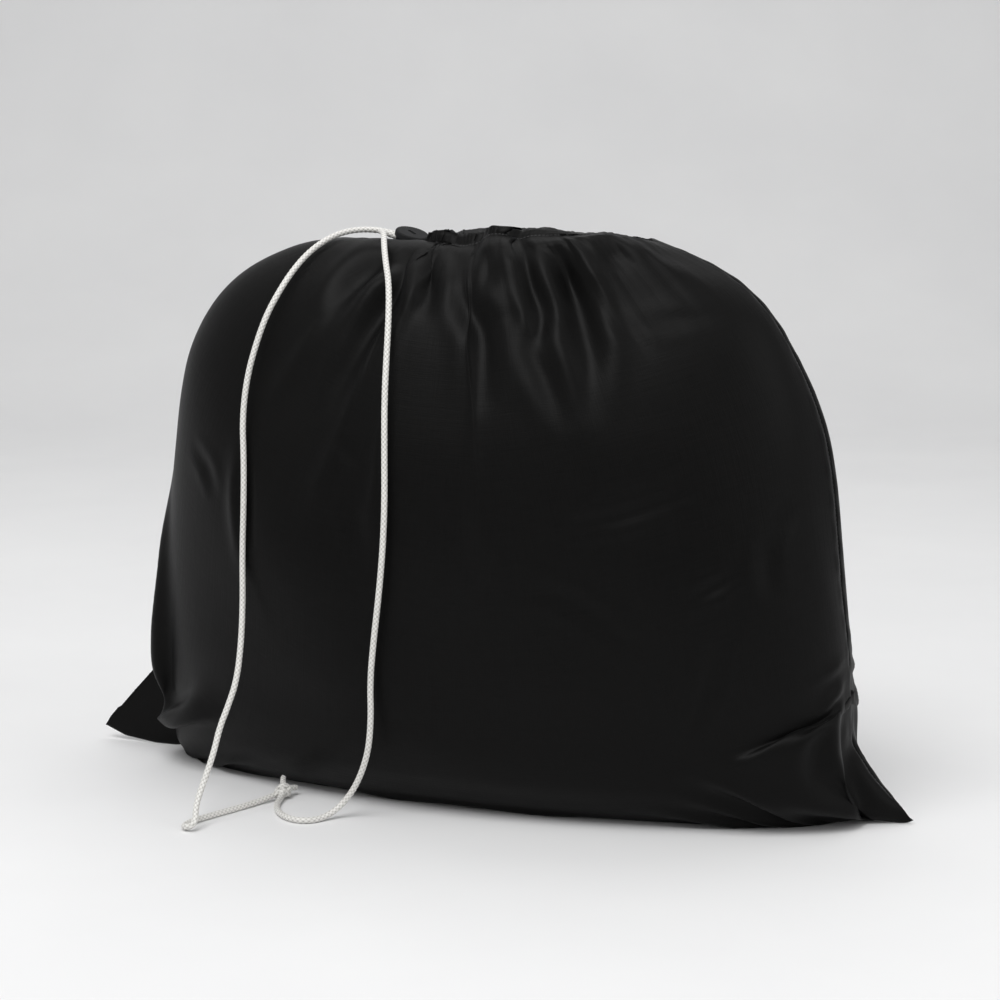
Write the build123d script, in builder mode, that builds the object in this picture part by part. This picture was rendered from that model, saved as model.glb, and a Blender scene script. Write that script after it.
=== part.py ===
from build123d import *
import os
from math import tan, radians

os.makedirs("parts", exist_ok=True)

# Stuffed drawstring laundry bag, standing on its bottom seam.
# X runs along the width, -Y is the front, +Z is up, z = 0 is the surface it stands on.

# ---------------------------------------------------------------- driving dimensions (mm)
fabric = 1.6            # wall of the fabric solids (the cloth itself is about 0.2 mm)
load_gap = 0.6          # clearance between the cloth and what fills the bag
ear_reach = 295.0       # half the distance between the two bottom corners
ear_layer = 2.4         # thickness of one panel's layer in a corner ear
crown_z = 353.0         # flat top of the stuffed body, round the mouth
load_top_z = 347.5      # top of the load, below the mouth
cord_d = 4.0            # braided drawcord
hem_w = 6.6             # thickness of the hem channel wall
hem_bottom_z = 350.5
hem_over_cord = 7.0     # hem edge above the cord in the channel
mouth_y = 0.0           # the gathered mouth is over the seams
thread_r = 0.35         # sewing thread along the seams
stitch_r = 0.45         # visible stitch line under the channel

# level, half width, half depth, centre in X of the stuffed body
body = [
    (0.0, 255.0, 56.0, 4.0),
    (7.0, 258.0, 70.0, 4.0),
    (18.0, 258.0, 83.0, 4.0),
    (40.0, 253.0, 98.0, 4.0),
    (70.0, 247.0, 107.0, 4.0),
    (105.0, 242.5, 111.0, 4.5),
    (150.0, 238.0, 111.5, 5.0),
    (195.0, 232.5, 108.0, 5.0),
    (235.0, 226.0, 101.5, 5.0),
    (270.0, 217.0, 93.5, 4.0),
    (300.0, 205.5, 83.0, 3.0),
    (320.0, 194.0, 73.0, 2.0),
    (338.0, 176.0, 59.0, 1.0),
    (crown_z, 150.0, 43.0, 0.0),
]

# centre line of the cord in the hem channel, seen from above, relative to mouth_y
hem_plan = [(-28, 3.6), (-18, 5.2), (-4, 12), (14, 17), (40, 18.5), (66, 17.5), (86, 14.5), (100, 8), (100, 0)]


def hem_z(x):
    # the gathered edge rises from the lock's end to the far end
    return 361.0 + 9.0 * (x + 28.0) / 128.0


def level(z):
    # half width, half depth and centre of the body at a height
    for lo, hi in zip(body, body[1:]):
        if lo[0] <= z <= hi[0]:
            t = (z - lo[0]) / (hi[0] - lo[0])
            return tuple(lo[i] + t * (hi[i] - lo[i]) for i in (1, 2, 3))


def largest_radii(points, name="", smallest=0.0):
    # every corner gets the largest arc its two runs allow
    pts = [Vector(*p) for p in points]
    radii = []
    for a, b, c in zip(pts, pts[1:], pts[2:]):
        run = min((b - a).length, (c - b).length)
        turn = (b - a).get_angle(c - b)
        radii.append(max(smallest, 0.45 * run / tan(radians(turn) / 2)))
    if name:
        print(name, "radii", [round(r, 1) for r in radii])
    return radii


def levels_between(low, high, inset):
    rows = [(low,) + level(low)] + [r for r in body if low + 2 < r[0] < high - 2] + [(high,) + level(high)]
    return [(z, a - inset, b - inset, c) for z, a, b, c in rows]


# ---------------------------------------------------------------- the two fabric panels
outer = [(z, a, b, c) for z, a, b, c in body]
inner = levels_between(fabric, crown_z - fabric, fabric)

left_ear = [(-225, 0), (-286, 0), (-ear_reach, 9), (-291, 16), (-247, 66), (-232, 82), (-225, 60)]
right_ear = [(225, 0), (291, 0), (ear_reach, 4), (291, 9), (262, 35), (247, 52), (225, 40)]


def hem_points(side, spread=0.0, dz=0.0):
    # side -1 is the front, +1 the back; spread moves the line outwards
    out = []
    for x, y in hem_plan:
        k = 1.0 if y > 0 else 0.0
        out.append((x + (spread if x > 99 else 0.0), mouth_y + side * (y + spread * k), hem_z(x) + dz))
    return out


front_line = hem_points(-1)
back_line = hem_points(1)

# The cord lock lies on the crown at the left end of the mouth, tipped down towards the
# mouth and a little towards the front. Its own frame: x along the cords, z out of the button.
lock_plane = Plane(origin=(-54.2, 4.9, 364.0), x_dir=(0.951, 0, -0.309), z_dir=(0.305, -0.156, 0.939))
cord_pitch = 4.5        # the two cords lie side by side in the lock


def lock_point(u, v, w=0.0):
    p = lock_plane.from_local_coords(Vector(u, v, w))
    return (p.X, p.Y, p.Z)


def lock_level(w):
    return lock_plane.offset(w)


# the cord's held stretch: round the mouth in the hem, and both ends into the lock
half_pitch = cord_pitch / 2
in_hem = ([lock_point(-6, -half_pitch), lock_point(19, -half_pitch)] + front_line[:-1]
          + back_line[:-1][::-1] + [lock_point(19, half_pitch), lock_point(-6, half_pitch)])

with BuildPart() as channel_void:
    with BuildLine() as channel_line:
        FilletPolyline(*in_hem, radius=largest_radii(in_hem))
    with BuildSketch(Plane(channel_line.line @ 0, z_dir=channel_line.line % 0)):
        Circle(cord_d / 2 + 0.35)
    sweep(path=channel_line.line)

with BuildPart() as front_panel:
    for z, a, b, c in outer:
        with BuildSketch(Plane.XY.offset(z)):
            with Locations((c, 0)):
                Ellipse(a, b)
    loft(ruled=True)
    with BuildSketch(Plane.XZ):
        with BuildLine():
            Polyline(*left_ear, close=True)
        make_face()
        with BuildLine():
            Polyline(*right_ear, close=True)
        make_face()
    extrude(amount=ear_layer)
    for z, a, b, c in inner:
        with BuildSketch(Plane.XY.offset(z)):
            with Locations((c, 0)):
                Ellipse(a, b)
    loft(ruled=True, mode=Mode.SUBTRACT)
    split(bisect_by=Plane.XZ, keep=Keep.TOP)
    # folded hem with the cord channel, gathered round the front of the mouth
    with BuildSketch(Plane.XY.offset(hem_bottom_z)):
        with BuildLine() as plan:
            flat = [(x, y, 0) for x, y, z in front_line]
            FilletPolyline(*[(x, y) for x, y, z in flat], radius=largest_radii(flat))
        trace(plan.line, hem_w)
    extrude(amount=30)
    with BuildPart(mode=Mode.PRIVATE) as above_front_hem:
        with BuildSketch(Plane.XZ.offset(-60)):
            with BuildLine():
                Polyline((-60, hem_z(-60) + hem_over_cord), (140, hem_z(140) + hem_over_cord), (140, 420), (-60, 420), close=True)
            make_face()
        extrude(amount=120)
    add(above_front_hem.part, mode=Mode.SUBTRACT)
    # the mouth itself
    with BuildSketch(Plane.XY.offset(crown_z - 2 * fabric)):
        with Locations((46, mouth_y)):
            Ellipse(46, 11.5)
    extrude(amount=4 * fabric, mode=Mode.SUBTRACT)
    add(channel_void.part, mode=Mode.SUBTRACT)
front_panel.part.label = "front_panel"
export_step(front_panel.part, "parts/front_panel.step")

with BuildPart() as back_panel:
    for z, a, b, c in outer:
        with BuildSketch(Plane.XY.offset(z)):
            with Locations((c, 0)):
                Ellipse(a, b)
    loft(ruled=True)
    with BuildSketch(Plane.XZ):
        with BuildLine():
            Polyline(*left_ear, close=True)
        make_face()
        with BuildLine():
            Polyline(*right_ear, close=True)
        make_face()
    extrude(amount=-ear_layer)
    for z, a, b, c in inner:
        with BuildSketch(Plane.XY.offset(z)):
            with Locations((c, 0)):
                Ellipse(a, b)
    loft(ruled=True, mode=Mode.SUBTRACT)
    split(bisect_by=Plane.XZ, keep=Keep.BOTTOM)
    with BuildSketch(Plane.XY.offset(hem_bottom_z)):
        with BuildLine() as plan:
            flat = [(x, y, 0) for x, y, z in back_line]
            FilletPolyline(*[(x, y) for x, y, z in flat], radius=largest_radii(flat))
        trace(plan.line, hem_w)
    extrude(amount=30)
    with BuildPart(mode=Mode.PRIVATE) as above_back_hem:
        with BuildSketch(Plane.XZ.offset(-60)):
            with BuildLine():
                Polyline((-60, hem_z(-60) + hem_over_cord), (140, hem_z(140) + hem_over_cord), (140, 420), (-60, 420), close=True)
            make_face()
        extrude(amount=120)
    add(above_back_hem.part, mode=Mode.SUBTRACT)
    with BuildSketch(Plane.XY.offset(crown_z - 2 * fabric)):
        with Locations((46, mouth_y)):
            Ellipse(46, 11.5)
    extrude(amount=4 * fabric, mode=Mode.SUBTRACT)
    add(channel_void.part, mode=Mode.SUBTRACT)
back_panel.part.label = "back_panel"
export_step(back_panel.part, "parts/back_panel.step")

# ---------------------------------------------------------------- what fills the bag
with BuildPart() as laundry_load:
    for z, a, b, c in levels_between(fabric + load_gap, load_top_z, fabric + load_gap):
        with BuildSketch(Plane.XY.offset(z)):
            with Locations((c, 0)):
                Ellipse(a, b)
    loft(ruled=True)
laundry_load.part.label = "laundry_load"
export_step(laundry_load.part, "parts/laundry_load.step")

# ---------------------------------------------------------------- sewing
left_edge = [(-289, 0, 12), (-246, 0, 62)] + [(c - a + 0.55, 0, z) for z, a, b, c in body if z > 90]
right_edge = [(289, 0, 5), (259, 0, 34)] + [(c + a - 0.55, 0, z) for z, a, b, c in body if z > 60]
for name, edge in (("left_side_seam", left_edge), ("right_side_seam", right_edge)):
    with BuildPart() as seam:
        with BuildLine() as seam_line:
            FilletPolyline(*edge, radius=largest_radii(edge))
        with BuildSketch(Plane(seam_line.line @ 0, z_dir=seam_line.line % 0)):
            Circle(thread_r)
        sweep(path=seam_line.line)
    seam.part.label = name
    export_step(seam.part, "parts/" + name + ".step")

with BuildPart() as bottom_seam:
    with BuildSketch(Plane.YZ.offset(-284)):
        with Locations((0, fabric / 2)):
            Circle(thread_r)
    extrude(amount=572)
bottom_seam.part.label = "bottom_seam"
export_step(bottom_seam.part, "parts/bottom_seam.step")

for name, side in (("front_hem_stitching", -1), ("back_hem_stitching", 1)):
    line = hem_points(side, hem_w / 2 + stitch_r + 0.02, -5.0)[:-1]
    with BuildPart() as stitching:
        with BuildLine() as stitch_line:
            FilletPolyline(*line, radius=largest_radii(line))
        with BuildSketch(Plane(stitch_line.line @ 0, z_dir=stitch_line.line % 0)):
            Circle(stitch_r)
        sweep(path=stitch_line.line)
    stitching.part.label = name
    export_step(stitching.part, "parts/" + name + ".step")

# ---------------------------------------------------------------- disc cord lock
lock_r = 11.5           # button
case_r = 10.2           # body below it
pocket_r = 8.9
case_floor = -6.4       # underside of the body
floor_t = 1.0
case_top = 3.3
button_under = 5.0      # underside of the button at rest
button_top = 6.3
press_travel = 1.6
bar_top = -2.1          # crossbar that pinches the cords from below
bar_under = -3.0
cheek_in, cheek_out, cheek_half = 4.9, 6.9, 5.0


lock_across = Plane(origin=lock_plane.origin, x_dir=lock_plane.y_dir, z_dir=lock_plane.x_dir)

with BuildPart() as lock_body:
    with BuildSketch(lock_level(case_floor)):
        Circle(case_r)
    extrude(amount=case_top - case_floor)
    fillet(lock_body.edges().group_by(lambda e: lock_plane.to_local_coords(e.center()).Z)[0], radius=1.4)
    with BuildSketch(lock_level(case_floor + floor_t)):
        Circle(pocket_r)
    extrude(amount=case_top - case_floor, mode=Mode.SUBTRACT)
    with BuildSketch(lock_across):
        SlotOverall(cord_pitch + cord_d + 0.6, cord_d + 0.6)
    extrude(amount=20, both=True, mode=Mode.SUBTRACT)
lock_body.part.label = "lock_body"
export_step(lock_body.part, "parts/lock_body.step")

with BuildPart() as lock_button:
    with BuildSketch(lock_level(2.6)):
        Circle(lock_r)
    extrude(amount=button_top - 2.6)
    fillet(lock_button.edges().group_by(lambda e: lock_plane.to_local_coords(e.center()).Z)[-1], radius=1.5)
    with BuildSketch(lock_level(2.6)):
        Circle(case_r + 0.4)
    extrude(amount=button_under - 2.6, mode=Mode.SUBTRACT)
    # the rim is cut away where the cords leave
    with BuildSketch(lock_level(2.0)):
        Rectangle(40, 10.4)
    extrude(amount=2.2, mode=Mode.SUBTRACT)
    # slanted window in the face, over the cords
    with BuildSketch(lock_level(button_under - 1)):
        with Locations(Location((-0.2, -0.4, 0), (0, 0, -24))):
            SlotOverall(7.4, 2.6)
    extrude(amount=4, mode=Mode.SUBTRACT)
    # two cheeks and the crossbar under the cords
    with BuildSketch(lock_level(bar_under)):
        with Locations((0, (cheek_in + cheek_out) / 2), (0, -(cheek_in + cheek_out) / 2)):
            Rectangle(2 * cheek_half, cheek_out - cheek_in)
    extrude(amount=button_under - bar_under + 0.2)
    with BuildSketch(lock_level(bar_under)):
        Rectangle(2 * cheek_half, 2 * cheek_out)
    extrude(amount=bar_top - bar_under)
lock_button.part.label = "lock_button"
export_step(lock_button.part, "parts/lock_button.step")

spring_wire = 0.45
spring_low = case_floor + floor_t + spring_wire / 2 + 0.02
spring_rise = bar_under - case_floor - floor_t - spring_wire - 0.04
with BuildPart() as upright_spring:
    with BuildLine() as coil_line:
        Helix(pitch=spring_rise / 1.75, height=spring_rise, radius=3.0)
    with BuildSketch(Plane(coil_line.line @ 0, z_dir=coil_line.line % 0)):
        Circle(spring_wire / 2)
    sweep(path=coil_line.line, is_frenet=True)
with BuildPart() as lock_spring:
    add(upright_spring.part.moved(Location(lock_plane.offset(spring_low))))
lock_spring.part.label = "lock_spring"
export_step(lock_spring.part, "parts/lock_spring.step")

# ---------------------------------------------------------------- drawcord
# One braided cord: round the mouth inside the hem, out at its left end, both strands
# through the lock, then two free tails that a knot joins on the floor.
right_tail = [
    lock_point(-6, -half_pitch), lock_point(-19.7, -half_pitch), (-71.5, -6.5, 371.0), (-63.1, -19.0, 370.3),
    (-57.3, -32.3, 364.0), (-50.0, -46.6, 354.0), (-41.9, -60.6, 342.9), (-36.5, -72.4, 329.9),
    (-32.6, -83.3, 311.9), (-30.2, -92.3, 291.3), (-28.0, -100.3, 268.1), (-25.2, -107.3, 238.7),
    (-23.2, -112.1, 209.0), (-23.1, -115.3, 180.8), (-25.1, -117.5, 150.9), (-28.6, -118.0, 122.3),
    (-31.7, -118.0, 93.4), (-31.7, -117.0, 67.6), (-33.8, -116.5, 47.6), (-38.7, -115.5, 32.5),
    (-44.5, -115.0, 20.5), (-51.0, -116.5, 11.0), (-57.0, -121.5, 4.4), (-62.0, -129.5, 2.1),
    (-67.0, -136.5, 2.1), (-75.5, -138.5, 2.1), (-84.5, -134.8, 2.1), (-93.0, -127.5, 2.1),
    (-99.5, -117.5, 2.1), (-103.3, -108.5, 2.3), (-104.8, -100.0, 3.2),
]
left_tail = [
    lock_point(-6, half_pitch), lock_point(-18.5, half_pitch), (-88.0, 1.0, 371.5), (-99.6, -9.0, 369.2),
    (-107.7, -21.7, 363.2), (-114.6, -32.0, 354.8), (-119.1, -44.3, 344.3), (-123.5, -55.7, 331.2),
    (-128.8, -62.6, 317.1), (-132.8, -69.8, 299.2), (-136.5, -76.2, 278.1), (-137.0, -83.0, 251.8),
    (-133.1, -89.5, 223.9), (-131.7, -93.9, 194.2), (-131.3, -97.6, 164.3), (-128.5, -103.5, 132.8),
    (-126.1, -112.0, 106.4), (-124.6, -122.0, 85.4), (-126.4, -131.0, 70.7), (-128.7, -139.0, 57.9),
    (-128.3, -148.0, 44.3), (-130.2, -158.0, 28.2), (-131.3, -168.0, 14.7), (-128.5, -178.5, 4.6),
    (-134.9, -177.5, 2.1), (-136.5, -165.0, 2.1), (-130.0, -147.0, 2.1), (-122.0, -127.0, 2.1),
    (-115.5, -110.0, 2.3), (-109.6, -96.2, 4.0),
]
for name, route in (("drawcord_channel", in_hem), ("drawcord_right_tail", right_tail), ("drawcord_left_tail", left_tail)):
    with BuildPart() as cord:
        with BuildLine() as cord_line:
            FilletPolyline(*route, radius=largest_radii(route, name))
        with BuildSketch(Plane(cord_line.line @ 0, z_dir=cord_line.line % 0)):
            Circle(cord_d / 2)
        sweep(path=cord_line.line)
    long_mm = sum(e.length for e in cord_line.line.edges())
    print(name, "length %.1f" % long_mm, "volume / (section x length) %.4f" % (cord.part.volume / (3.14159265 * cord_d ** 2 / 4 * long_mm)))
    cord.part.label = name
    export_step(cord.part, "parts/" + name + ".step")

# knot that ties both tails, with its two cut ends
knot_at = (-107.0, -93.0, 4.6)
with BuildPart() as drawcord_knot:
    with BuildSketch(Plane(origin=(knot_at[0] - 6.0, knot_at[1] + 5.28, knot_at[2]), z_dir=(0.75, -0.66, 0))):
        Circle(4.4)
    extrude(amount=16)
    fillet(drawcord_knot.edges().filter_by(GeomType.CIRCLE), radius=3.4)
    with BuildSketch(Plane(origin=knot_at, z_dir=(-6.8, 14.5, 4.0))):
        Circle(cord_d / 2 - 0.1)
    extrude(amount=15.5)
    with BuildSketch(Plane(origin=knot_at, z_dir=(3.2, 9.1, 1.6))):
        Circle(cord_d / 2 - 0.1)
    extrude(amount=11.5)
drawcord_knot.part.label = "drawcord_knot"
export_step(drawcord_knot.part, "parts/drawcord_knot.step")
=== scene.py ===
import bpy
import numpy as np
from math import sin, cos, pi, radians, sqrt
from mathutils import Vector, Matrix, kdtree


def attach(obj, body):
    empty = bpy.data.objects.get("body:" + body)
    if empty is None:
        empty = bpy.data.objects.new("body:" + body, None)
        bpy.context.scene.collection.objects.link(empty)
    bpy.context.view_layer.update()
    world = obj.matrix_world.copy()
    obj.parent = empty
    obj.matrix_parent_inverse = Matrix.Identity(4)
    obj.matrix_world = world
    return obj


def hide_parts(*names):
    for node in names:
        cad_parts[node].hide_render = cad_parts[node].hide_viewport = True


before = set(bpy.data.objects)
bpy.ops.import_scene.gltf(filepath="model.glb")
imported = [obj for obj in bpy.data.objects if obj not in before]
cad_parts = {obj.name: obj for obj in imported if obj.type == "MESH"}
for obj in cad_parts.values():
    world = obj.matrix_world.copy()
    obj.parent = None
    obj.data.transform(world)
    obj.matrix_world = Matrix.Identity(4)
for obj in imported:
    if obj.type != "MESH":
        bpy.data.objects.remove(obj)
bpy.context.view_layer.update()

scene = bpy.context.scene
scene.view_settings.view_transform = "Standard"
MM = 0.001


def link(ob):
    scene.collection.objects.link(ob)
    return ob


# ------------------------------------------------------------------ camera, at the photograph's angle
YAW, PITCH, DIST = radians(21.0), radians(9.6), 1.6
aim = Vector((0.0115, 0.0, 0.1934))
back = Vector((sin(YAW) * cos(PITCH), -cos(YAW) * cos(PITCH), sin(PITCH)))
cam = link(bpy.data.objects.new("camera", bpy.data.cameras.new("camera")))
cam.location = aim + back * DIST
cam.rotation_euler = (-back).to_track_quat("-Z", "Y").to_euler()
cam.data.sensor_width = 36.0
cam.data.lens = 2397 * 36 / 1000
scene.camera = cam


# ------------------------------------------------------------------ node material helpers
class Mat:
    def __init__(self, name):
        self.m = bpy.data.materials.new(name)
        self.m.use_nodes = True
        self.t = self.m.node_tree
        self.bsdf = self.t.nodes["Principled BSDF"]

    def node(self, kind, **props):
        n = self.t.nodes.new(kind)
        for k, v in props.items():
            setattr(n, k, v)
        return n

    def link(self, a, b):
        self.t.links.new(a, b)

    def val(self, sock, v):
        self.bsdf.inputs[sock].default_value = v

    def noise(self, vec, scale, detail=3.0, rough=0.55, dist=0.0):
        n = self.node("ShaderNodeTexNoise")
        n.inputs["Scale"].default_value = scale
        n.inputs["Detail"].default_value = detail
        n.inputs["Roughness"].default_value = rough
        n.inputs["Distortion"].default_value = dist
        if vec is not None:
            self.link(vec, n.inputs["Vector"])
        return n.outputs["Fac"]

    def math(self, op, a, b=None, clamp=False):
        n = self.node("ShaderNodeMath", operation=op, use_clamp=clamp)
        for k, x in enumerate((a, b)):
            if x is None:
                continue
            if isinstance(x, (int, float)):
                n.inputs[k].default_value = x
            else:
                self.link(x, n.inputs[k])
        return n.outputs[0]

    def ramp(self, fac, stops):
        n = self.node("ShaderNodeValToRGB")
        els = n.color_ramp.elements
        while len(els) < len(stops):
            els.new(0.5)
        for e, (p, c) in zip(els, stops):
            e.position = p
            e.color = (*c, 1)
        self.link(fac, n.inputs["Fac"])
        return n.outputs["Color"]

    def scaled(self, vec, s):
        n = self.node("ShaderNodeMapping")
        n.inputs["Scale"].default_value = s
        self.link(vec, n.inputs["Vector"])
        return n.outputs["Vector"]

    def bump(self, height, strength, distance, normal=None):
        n = self.node("ShaderNodeBump")
        n.inputs["Strength"].default_value = strength
        n.inputs["Distance"].default_value = distance
        self.link(height, n.inputs["Height"])
        if normal is not None:
            self.link(normal, n.inputs["Normal"])
        return n.outputs["Normal"]


def cotton(name, base, worn, sheen=0.02, rough=0.44):
    # plain-woven cloth: UVs are metres on the flat panel, so threads run with the grain
    m = Mat(name)
    uv = m.node("ShaderNodeUVMap", uv_map="cloth").outputs["UV"]
    obj = m.node("ShaderNodeTexCoord").outputs["Object"]
    warp = m.noise(m.scaled(uv, (1500, 70, 1)), 1.0, 2.0)
    weft = m.noise(m.scaled(uv, (70, 1500, 1)), 1.0, 2.0)
    weave = m.math("ADD", warp, weft)
    slub = m.math("ADD", m.noise(m.scaled(uv, (420, 9, 1)), 1.0, 1.0), m.noise(m.scaled(uv, (9, 420, 1)), 1.0, 1.0))
    soft = m.noise(obj, 7.0, 3.0)
    tone = m.math("ADD", m.math("MULTIPLY", weave, 0.30), m.math("ADD", m.math("MULTIPLY", slub, 0.12), m.math("MULTIPLY", soft, 0.35)))
    m.link(m.ramp(tone, [(0.36, base), (0.62, worn)]), m.bsdf.inputs["Base Color"])
    lint = m.noise(obj, 1400.0, 1.0)
    r = m.math("ADD", m.math("MULTIPLY", soft, 0.10), rough - 0.05)
    m.link(r, m.bsdf.inputs["Roughness"])
    n1 = m.bump(weave, 0.35, 0.00025)
    n2 = m.bump(m.math("ADD", slub, m.math("MULTIPLY", lint, 0.2)), 0.18, 0.0004, n1)
    n3 = m.bump(m.noise(obj, 55.0, 3.0, 0.6), 0.10, 0.0012, n2)
    m.link(n3, m.bsdf.inputs["Normal"])
    m.val("Sheen Weight", sheen)
    m.val("Sheen Roughness", 0.45)
    m.val("Sheen Tint", (0.75, 0.76, 0.80, 1))
    m.val("Specular IOR Level", 0.085)
    return m.m


def braid_material(name):
    m = Mat(name)
    at = m.node("ShaderNodeAttribute", attribute_name="braid")
    depth = m.node("ShaderNodeAttribute", attribute_name="depth").outputs["Fac"]
    obj = m.node("ShaderNodeTexCoord").outputs["Object"]
    fibre = m.noise(m.scaled(at.outputs["Vector"], (2.2, 60, 1)), 1.0, 2.0)
    grime = m.noise(obj, 45.0, 3.0)
    # painted shade: the colour darkens where the ribbons sink into the gaps between them and is lightest on their
    # raised tops
    tone = m.math("ADD", m.math("MULTIPLY", depth, 0.75), m.math("ADD", m.math("MULTIPLY", fibre, 0.16), m.math("MULTIPLY", grime, 0.12)))
    m.link(m.ramp(tone, [(0.22, (0.20, 0.19, 0.17)), (0.50, (0.55, 0.54, 0.51)), (0.80, (0.80, 0.79, 0.76))]), m.bsdf.inputs["Base Color"])
    m.link(m.bump(fibre, 0.5, 0.00012), m.bsdf.inputs["Normal"])
    m.val("Roughness", 0.38)
    m.val("Specular IOR Level", 0.5)
    m.val("Sheen Weight", 0.2)
    return m.m


def plastic(name, base, light, rough=0.42):
    m = Mat(name)
    obj = m.node("ShaderNodeTexCoord").outputs["Object"]
    fine = m.noise(obj, 2600.0, 2.0)
    flow = m.noise(obj, 160.0, 4.0, 0.6)
    edge = m.node("ShaderNodeNewGeometry").outputs["Pointiness"]
    worn = m.math("MULTIPLY", m.math("SUBTRACT", edge, 0.51, True), 5.0, True)
    tone = m.math("ADD", m.math("MULTIPLY", flow, 0.6), m.math("ADD", m.math("MULTIPLY", fine, 0.2), worn))
    m.link(m.ramp(tone, [(0.30, base), (0.62, light)]), m.bsdf.inputs["Base Color"])
    m.link(m.math("ADD", m.math("MULTIPLY", flow, 0.16), rough - 0.08), m.bsdf.inputs["Roughness"])
    m.link(m.bump(fine, 0.25, 0.00006), m.bsdf.inputs["Normal"])
    m.val("Specular IOR Level", 0.06)
    return m.m


def wire(name):
    m = Mat(name)
    obj = m.node("ShaderNodeTexCoord").outputs["Object"]
    n = m.noise(m.scaled(obj, (300, 300, 4000)), 1.0, 3.0)
    m.link(m.ramp(n, [(0.3, (0.42, 0.42, 0.43)), (0.7, (0.66, 0.66, 0.68))]), m.bsdf.inputs["Base Color"])
    m.link(m.math("ADD", m.math("MULTIPLY", n, 0.2), 0.2), m.bsdf.inputs["Roughness"])
    m.val("Metallic", 1.0)
    return m.m


def thread_material(name):
    m = Mat(name)
    obj = m.node("ShaderNodeTexCoord").outputs["Object"]
    twist = m.noise(m.scaled(obj, (1800, 1800, 1800)), 1.0, 2.0)
    m.link(m.ramp(twist, [(0.3, (0.012, 0.012, 0.013)), (0.7, (0.045, 0.045, 0.048))]), m.bsdf.inputs["Base Color"])
    m.link(m.bump(twist, 0.4, 0.0001), m.bsdf.inputs["Normal"])
    m.val("Roughness", 0.5)
    m.val("Sheen Weight", 0.3)
    return m.m


black_cotton = cotton("black_cotton", (0.0012, 0.0012, 0.0012), (0.0032, 0.0031, 0.0030))
load_cloth = cotton("load_cloth", (0.10, 0.11, 0.13), (0.22, 0.23, 0.25), 0.2, 0.8)
white_braid = braid_material("white_braid")
grey_plastic = plastic("grey_plastic", (0.012, 0.012, 0.012), (0.026, 0.026, 0.027), 0.66)
spring_steel = wire("spring_steel")
black_thread = thread_material("black_thread")

# ------------------------------------------------------------------ the cord's route, the points of part.py
LO = np.array((-54.2, 4.9, 364.0))
LX = np.array((0.951, 0, -0.309)); LX /= np.linalg.norm(LX)
LZ = np.array((0.305, -0.156, 0.939)); LZ -= LX * (LZ @ LX); LZ /= np.linalg.norm(LZ)
LY = np.cross(LZ, LX)


def lock_point(u, v, w=0.0):
    return tuple(LO + u * LX + v * LY + w * LZ)


hem_plan = [(-28, 3.6), (-18, 5.2), (-4, 12), (14, 17), (40, 18.5), (66, 17.5), (86, 14.5), (100, 8), (100, 0)]
hem_level = [361.8, 364.4, 366.4, 367.4, 366.6, 364.6, 363.2, 362.6, 362.6]
front_line = [(x, -y, z) for (x, y), z in zip(hem_plan, hem_level)]
back_line = [(x, y, z) for (x, _, z), (_, y) in zip(front_line, hem_plan)]
in_hem = ([lock_point(-6, -2.25), lock_point(19, -2.25)] + front_line[:-1]
          + back_line[:-1][::-1] + [lock_point(19, 2.25), lock_point(-6, 2.25)])
right_tail = [
    lock_point(-6, -2.25), lock_point(-19.7, -2.25), (-71.5, -6.5, 371.0), (-63.1, -19.0, 370.3),
    (-57.3, -32.3, 364.0), (-50.0, -46.6, 354.0), (-41.9, -60.6, 342.9), (-36.5, -72.4, 329.9),
    (-32.6, -83.3, 311.9), (-30.2, -92.3, 291.3), (-28.0, -100.3, 268.1), (-25.2, -107.3, 238.7),
    (-23.2, -112.1, 209.0), (-23.1, -115.3, 180.8), (-25.1, -117.5, 150.9), (-28.6, -118.0, 122.3),
    (-31.7, -118.0, 93.4), (-31.7, -117.0, 67.6), (-33.8, -116.5, 47.6), (-38.7, -115.5, 32.5),
    (-44.5, -115.0, 20.5), (-51.0, -116.5, 11.0), (-57.0, -121.5, 4.4), (-62.0, -129.5, 2.1),
    (-67.0, -136.5, 2.1), (-75.5, -138.5, 2.1), (-84.5, -134.8, 2.1), (-93.0, -127.5, 2.1),
    (-99.5, -117.5, 2.1), (-103.3, -108.5, 2.3), (-104.8, -100.0, 3.2),
]
left_tail = [
    lock_point(-6, 2.25), lock_point(-18.5, 2.25), (-88.0, 1.0, 371.5), (-99.6, -9.0, 369.2),
    (-107.7, -21.7, 363.2), (-114.6, -32.0, 354.8), (-119.1, -44.3, 344.3), (-123.5, -55.7, 331.2),
    (-128.8, -62.6, 317.1), (-132.8, -69.8, 299.2), (-136.5, -76.2, 278.1), (-137.0, -83.0, 251.8),
    (-133.1, -89.5, 223.9), (-131.7, -93.9, 194.2), (-131.3, -97.6, 164.3), (-128.5, -103.5, 132.8),
    (-126.1, -112.0, 106.4), (-124.6, -122.0, 85.4), (-126.4, -131.0, 70.7), (-128.7, -139.0, 57.9),
    (-128.3, -148.0, 44.3), (-130.2, -158.0, 28.2), (-131.3, -168.0, 14.7), (-126.4, -178.7, 4.2),
    (-136.2, -178.3, 2.1), (-137.2, -165.0, 2.1), (-130.0, -147.0, 2.1), (-122.0, -127.0, 2.1),
    (-115.5, -110.0, 2.3), (-109.6, -96.2, 4.0),
]


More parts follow.
